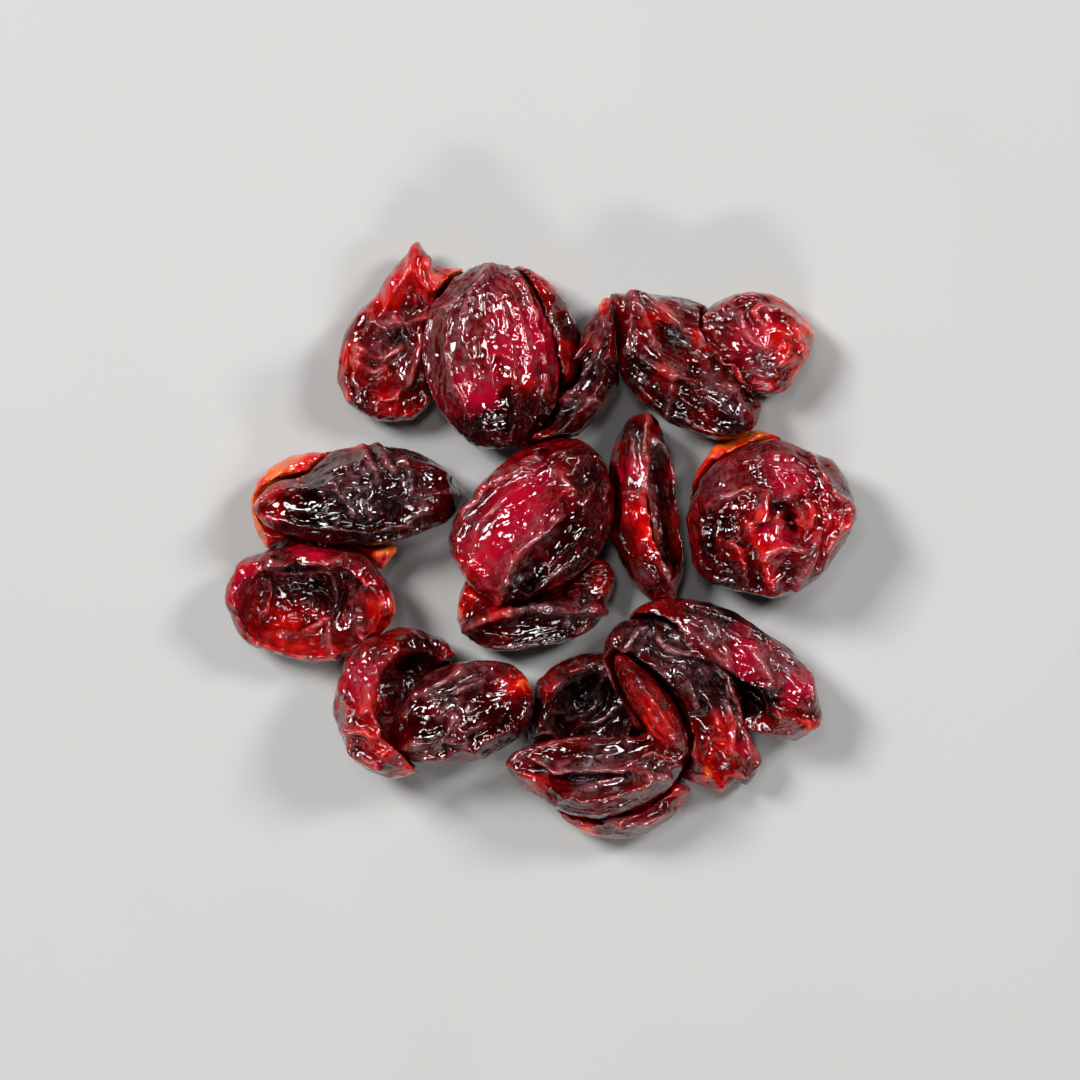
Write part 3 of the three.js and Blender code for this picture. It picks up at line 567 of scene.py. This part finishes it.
def mark_tones(mesh, points, outward, look, seed):
    """Stores what the berry's patches add to its brightness, rose, painted grey sheen and painted amber
    glow.
    """
    turned_down = np.clip((MOST_LEVEL - outward[:, 2]) / 0.5, LEAST_AMBER, 1)
    effects = np.zeros((4, len(points)))
    effects[0] = look.get("shade", 0.0)
    for kind, effect in TONES.items():
        for number, (x, y, radius) in enumerate(look.get(kind, [])):
            strength = patch_strength(points, x, y, radius, 100 * seed + number)
            # the painted amber glow of light through thin rims is strongest where the skin turns down
            if kind == "amber":
                strength *= turned_down
            effects += np.outer(effect, strength)
    for name, values in zip(("tone", "rose", "grey", "amber"), effects):
        write_value(mesh, name, np.clip(values, -1, 1))


def mark(mesh, look, seed):
    """Stores on the mesh what its finish depends on."""
    points, outward = coordinates(mesh), normals(mesh)
    mark_form(mesh, points, outward, look.get("folds", []))
    mark_tones(mesh, points, outward, look, seed)


# ---------------------------------------------------------------- finishes


FINISHES = {
    # shade: how bright the skin is, from 0, near black, to 1, orange; rose: its share of rose;
    # amber: how far it is taken past red, towards orange, as a painted glow of light through thin skin
    "rose_red_skin": dict(shade=0.40, rose=0.06, amber=0.0),
    "bright_red_skin": dict(shade=0.48, rose=0.0, amber=0.0),
    "dark_skin": dict(shade=0.24, rose=0.0, amber=0.0),
    "deep_red_skin": dict(shade=0.34, rose=0.0, amber=0.0),
    "amber_red_skin": dict(shade=0.58, rose=0.0, amber=0.07),
}


class Shader:
    """A small helper to lay out a material's nodes."""

    def __init__(self, name):
        self.material = bpy.data.materials.new(name)
        self.material.use_nodes = True
        self.tree = self.material.node_tree
        self.surface = self.tree.nodes["Principled BSDF"]

    def node(self, kind, inputs=(), **settings):
        made = self.tree.nodes.new(kind)
        for name, value in settings.items():
            setattr(made, name, value)
        for socket, value in dict(inputs).items():
            self.feed(made.inputs[socket], value)
        return made

    def feed(self, socket, value):
        if isinstance(value, bpy.types.NodeSocket):
            self.tree.links.new(value, socket)
        else:
            socket.default_value = value

    def value(self, name):
        return self.node("ShaderNodeAttribute", attribute_name=name).outputs["Fac"]

    def math(self, operation, *values, clamp=False):
        inputs = dict(enumerate(values))
        return self.node("ShaderNodeMath", inputs, operation=operation, use_clamp=clamp).outputs[0]

    def vector(self, operation, inputs):
        return self.node("ShaderNodeVectorMath", inputs, operation=operation).outputs[0]

    def spread(self, value, low, high, to_low=0.0, to_high=1.0):
        inputs = {"Value": value, 1: low, 2: high, 3: to_low, 4: to_high}
        return self.node("ShaderNodeMapRange", inputs).outputs[0]

    def ramp(self, value, stops):
        made = self.node("ShaderNodeValToRGB", {"Fac": value})
        elements = made.color_ramp.elements
        while len(elements) < len(stops):
            elements.new(0.5)
        for element, (place, colour) in zip(elements, stops):
            element.position = place
            element.color = (*colour, 1)
        return made.outputs["Color"]

    def mix(self, share, first, second):
        made = self.node("ShaderNodeMix", data_type="RGBA")
        self.feed(made.inputs["Factor"], share)
        for socket, colour in ((6, first), (7, second)):
            self.feed(made.inputs[socket], (*colour, 1) if isinstance(colour, tuple) else colour)
        return made.outputs[2]

    def noise(self, place, scale, detail, distortion=0.0):
        inputs = {"Vector": place, "Scale": scale, "Detail": detail, "Distortion": distortion}
        return self.node("ShaderNodeTexNoise", inputs).outputs["Fac"]


SKIN_COLOURS = [
    # (brightness, colour), from near black to orange
    (0.00, (0.003, 0.0001, 0.0001)),
    (0.22, (0.021, 0.0001, 0.0001)),
    (0.45, (0.090, 0.0003, 0.0003)),
    (0.66, (0.280, 0.0008, 0.0009)),
    (0.84, (0.500, 0.0060, 0.0015)),
    (1.00, (0.620, 0.0900, 0.0040)),
]
# rose: partly the skin's own rose tone, partly a painted pink sheen
ROSE = (0.265, 0.0018, 0.015)
PAINTED_SHEEN = (0.105, 0.042, 0.049)  # a painted sheen: the lamps' broad reflection on the skin, painted into its colour
PAINTED_CREST_HIGHLIGHT = (0.350, 0.140, 0.150)  # a painted highlight along the crests of ridges
BLOTCHES, SPECKS = 420, 1700  # scales of the noise in the colour, per metre
FACETS_PER_METRE = 1100  # the small flat faces of the bump
BENDS_PER_METRE = 900  # how often the borders of those facets wander
BEND_SIZE = 0.0006  # how far, in metres
FACET_TILT = 0.6  # how strongly those facets are tilted
THIN_LIGHT, SWELL_LIGHT = 0.24, 0.16  # how much brighter skin is painted where it is thin, as light shining through, and where it swells, as painted light on bulges and painted shade in hollows
SPECK_LIGHT, BLOTCH_LIGHT = 0.07, 0.12  # how far the noise makes it brighter or darker
RED_LIMIT = 0.80  # the brightest that skin gets without amber
ROSE_SHARE = 0.7  # how much of its colour a rose patch takes over
CREST_HIGHLIGHT_SHARE = 0.08  # how much the painted highlight lightens the finest crests
SHEEN_ROUGHNESS = 0.12  # how much rougher the skin is where the grey sheen is painted


def brightness(shader, blotch, speck, shade, amber):
    """Painted light and shade: brighter where the skin is thin, as light shining through it, brighter where
    it swells and darker in its hollows, moved by its patches, mottled throughout, and taken past red by a
    painted amber glow.
    """
    # painted light shining through thin skin
    thin = shader.math("POWER", shader.value("thin"), 3.0)
    level = shader.math("MULTIPLY_ADD", thin, THIN_LIGHT, shade)
    level = shader.math("ADD", level, shader.value("tone"))
    # painted light on the swellings and painted shade in the hollows
    level = shader.math("MULTIPLY_ADD", shader.value("swell"), SWELL_LIGHT, level)
    level = shader.math("ADD", level, shader.spread(speck, 0.3, 0.7, -SPECK_LIGHT, SPECK_LIGHT))
    level = shader.math("ADD", shader.spread(blotch, 0.3, 0.7, -BLOTCH_LIGHT, BLOTCH_LIGHT), level)
    # past red only by the finish's amber, a painted glow of light through thin skin
    level = shader.math("ADD", shader.math("MINIMUM", level, RED_LIMIT), amber)
    # amber patches: a painted orange glow of light through thin rims, broken into blotches
    glow = shader.spread(blotch, 0.38, 0.62, 0.08, 0.36)
    glow = shader.math("MULTIPLY", shader.value("amber"), glow)
    return shader.math("ADD", glow, level, clamp=True)


def painted_sheen_share(shader, blotch, speck):
    """The share of painted grey sheen, a reflection of the lamps, broken up into flecks."""
    flecks = shader.math("MULTIPLY", shader.spread(speck, 0.42, 0.60), shader.spread(blotch, 0.38, 0.58))
    return shader.math("MULTIPLY", shader.value("grey"), shader.spread(flecks, 0.0, 1.0, 0.04, 0.75))


def skin_colour(shader, level, sheen, speck, rose):
    """Red by brightness, with rose, a painted grey sheen and painted highlights along the ridges over it.
    """
    colour = shader.ramp(level, SKIN_COLOURS)
    rosy = shader.math("MULTIPLY_ADD", shader.value("rose"), ROSE_SHARE, rose, clamp=True)
    colour = shader.mix(rosy, colour, ROSE)
    # painted sheen: the lamps' reflection mixed into the colour
    colour = shader.mix(sheen, colour, PAINTED_SHEEN)
    # painted highlights along the listed ridges and on the finest crests
    ridge = shader.math("MULTIPLY", shader.value("ridge"), shader.spread(speck, 0.42, 0.60, 0.02, 0.22))
    crest = shader.spread(shader.value("crest"), 0.5, 1.0)
    ridge = shader.math("MULTIPLY_ADD", crest, CREST_HIGHLIGHT_SHARE, ridge)
    return shader.mix(ridge, colour, PAINTED_CREST_HIGHLIGHT)


def facet_bump(shader, place):
    """Small flat faces, each tilted its own way, with crooked borders."""
    bend = shader.node("ShaderNodeTexNoise", {"Vector": place, "Scale": BENDS_PER_METRE, "Detail": 0.0})
    bend = shader.vector("SCALE", {0: bend.outputs["Color"], "Scale": BEND_SIZE})
    bent = shader.vector("ADD", {0: place, 1: bend})
    cells = shader.node("ShaderNodeTexVoronoi", {"Vector": bent, "Scale": FACETS_PER_METRE})
    tilt = shader.vector("SUBTRACT", {0: cells.outputs["Color"], 1: (0.5, 0.5, 0.5)})
    away = shader.vector("SUBTRACT", {0: bent, 1: cells.outputs["Position"]})
    height = shader.node("ShaderNodeVectorMath", {0: tilt, 1: away}, operation="DOT_PRODUCT")
    bump = {"Strength": FACET_TILT, "Distance": 1.0, "Height": height.outputs["Value"]}
    return shader.node("ShaderNodeBump", bump).outputs[0]


def skin_finish(name, shade, rose, amber):
    """Glossy fruit skin."""
    shader = Shader(name)
    place = shader.node("ShaderNodeTexCoord").outputs["Object"]
    blotch = shader.noise(place, BLOTCHES, 4, 0.8)
    speck = shader.noise(place, SPECKS, 3, 0.4)
    level = brightness(shader, blotch, speck, shade, amber)
    # the share of painted sheen
    sheen = painted_sheen_share(shader, blotch, speck)
    surface = shader.surface
    shader.feed(surface.inputs["Base Color"], skin_colour(shader, level, sheen, speck, rose))
    gloss = shader.spread(blotch, 0.35, 0.65, 0.04, 0.08)
    gloss = shader.math("MULTIPLY_ADD", sheen, SHEEN_ROUGHNESS, gloss)
    shader.feed(surface.inputs["Roughness"], gloss)
    shader.feed(surface.inputs["Normal"], facet_bump(shader, place))
    surface.inputs["Specular IOR Level"].default_value = 0.45
    surface.inputs["Coat Weight"].default_value = 0.45
    surface.inputs["Coat Roughness"].default_value = 0.02
    return shader.material


def floor_finish():
    shader = Shader("pale_floor")
    place = shader.node("ShaderNodeTexCoord").outputs["Object"]
    mottle = shader.noise(place, 40, 2)
    colour = shader.mix(mottle, (0.325, 0.322, 0.315), (0.345, 0.342, 0.335))
    shader.feed(shader.surface.inputs["Base Color"], colour)
    shader.surface.inputs["Roughness"].default_value = 0.7
    return shader.material


# ---------------------------------------------------------------- the scene


def build_berry(name, node, look, seed, finish):
    """Puts a crumpled skin in the place of the node's plain solid."""
    mesh = modified(joined_copy(node), "REMESH", mode="VOXEL", voxel_size=PITCH)
    mesh = crumpled(mesh, look, seed)
    mark(mesh, look, seed)
    set_coordinates(mesh, coordinates(mesh) * METRES)
    mesh.polygons.foreach_set("use_smooth", np.ones(len(mesh.polygons), bool))
    mesh.materials.clear()
    mesh.materials.append(finish)
    skin = bpy.data.objects.new("skin_" + name, mesh)
    bpy.context.scene.collection.objects.link(skin)
    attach(skin, "root")
    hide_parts("cranberry_" + name)


def add_floor():
    bpy.ops.mesh.primitive_plane_add(size=3.0, location=(0, 0, 0))
    floor = bpy.context.object
    floor.name = "floor"
    floor.data.materials.append(floor_finish())


def add_light(name, size, power, place):
    """A rectangular lamp that is aimed at the cluster's middle."""
    data = bpy.data.lights.new(name, "AREA")
    data.shape = "RECTANGLE"
    data.size, data.size_y = size
    data.energy = power
    lamp = bpy.data.objects.new(name, data)
    lamp.location = place
    lamp.rotation_euler = (-Vector(place)).to_track_quat("-Z", "Y").to_euler()
    bpy.context.scene.collection.objects.link(lamp)


def add_studio():
    """Four soft lamps, two of them to the sides, and a very dim room."""
    add_light("key_left", (0.14, 0.17), 3.8, (-0.30, 0.20, 0.42))
    add_light("key_right", (0.11, 0.14), 2.2, (0.32, 0.20, 0.38))
    add_light("low_front", (0.18, 0.05), 1.3, (0.05, -0.40, 0.32))
    add_light("overhead", (0.15, 0.12), 1.2, (-0.08, 0.16, 0.80))
    world = bpy.data.worlds.new("studio")
    world.use_nodes = True
    background = world.node_tree.nodes["Background"]
    background.inputs["Color"].default_value = (0.9, 0.92, 1.0, 1)
    background.inputs["Strength"].default_value = 0.01
    bpy.context.scene.world = world


def add_camera():
    """Straight above the cluster's middle, as in the photo."""
    data = bpy.data.cameras.new("camera")
    data.lens = 200
    data.sensor_width = 36
    camera = bpy.data.objects.new("camera", data)
    camera.location = (0, 0, 0.45)
    bpy.context.scene.collection.objects.link(camera)
    bpy.context.scene.camera = camera


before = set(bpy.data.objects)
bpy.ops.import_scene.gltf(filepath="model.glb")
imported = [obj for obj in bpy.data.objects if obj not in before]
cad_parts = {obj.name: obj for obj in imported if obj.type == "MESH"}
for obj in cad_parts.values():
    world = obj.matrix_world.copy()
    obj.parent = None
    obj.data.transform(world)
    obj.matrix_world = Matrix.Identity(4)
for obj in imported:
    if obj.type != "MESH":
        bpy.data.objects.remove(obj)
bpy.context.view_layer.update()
noise.seed_set(NOISE_SEED)
finishes = {name: skin_finish(name, **finish) for name, finish in FINISHES.items()}
for seed, (name, look) in enumerate(BERRIES.items(), start=1):
    build_berry(name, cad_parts["cranberry_" + name], look, seed, finishes[look["slot"]])
add_floor()
add_studio()
add_camera()
bpy.context.scene.view_settings.view_transform = "Standard"
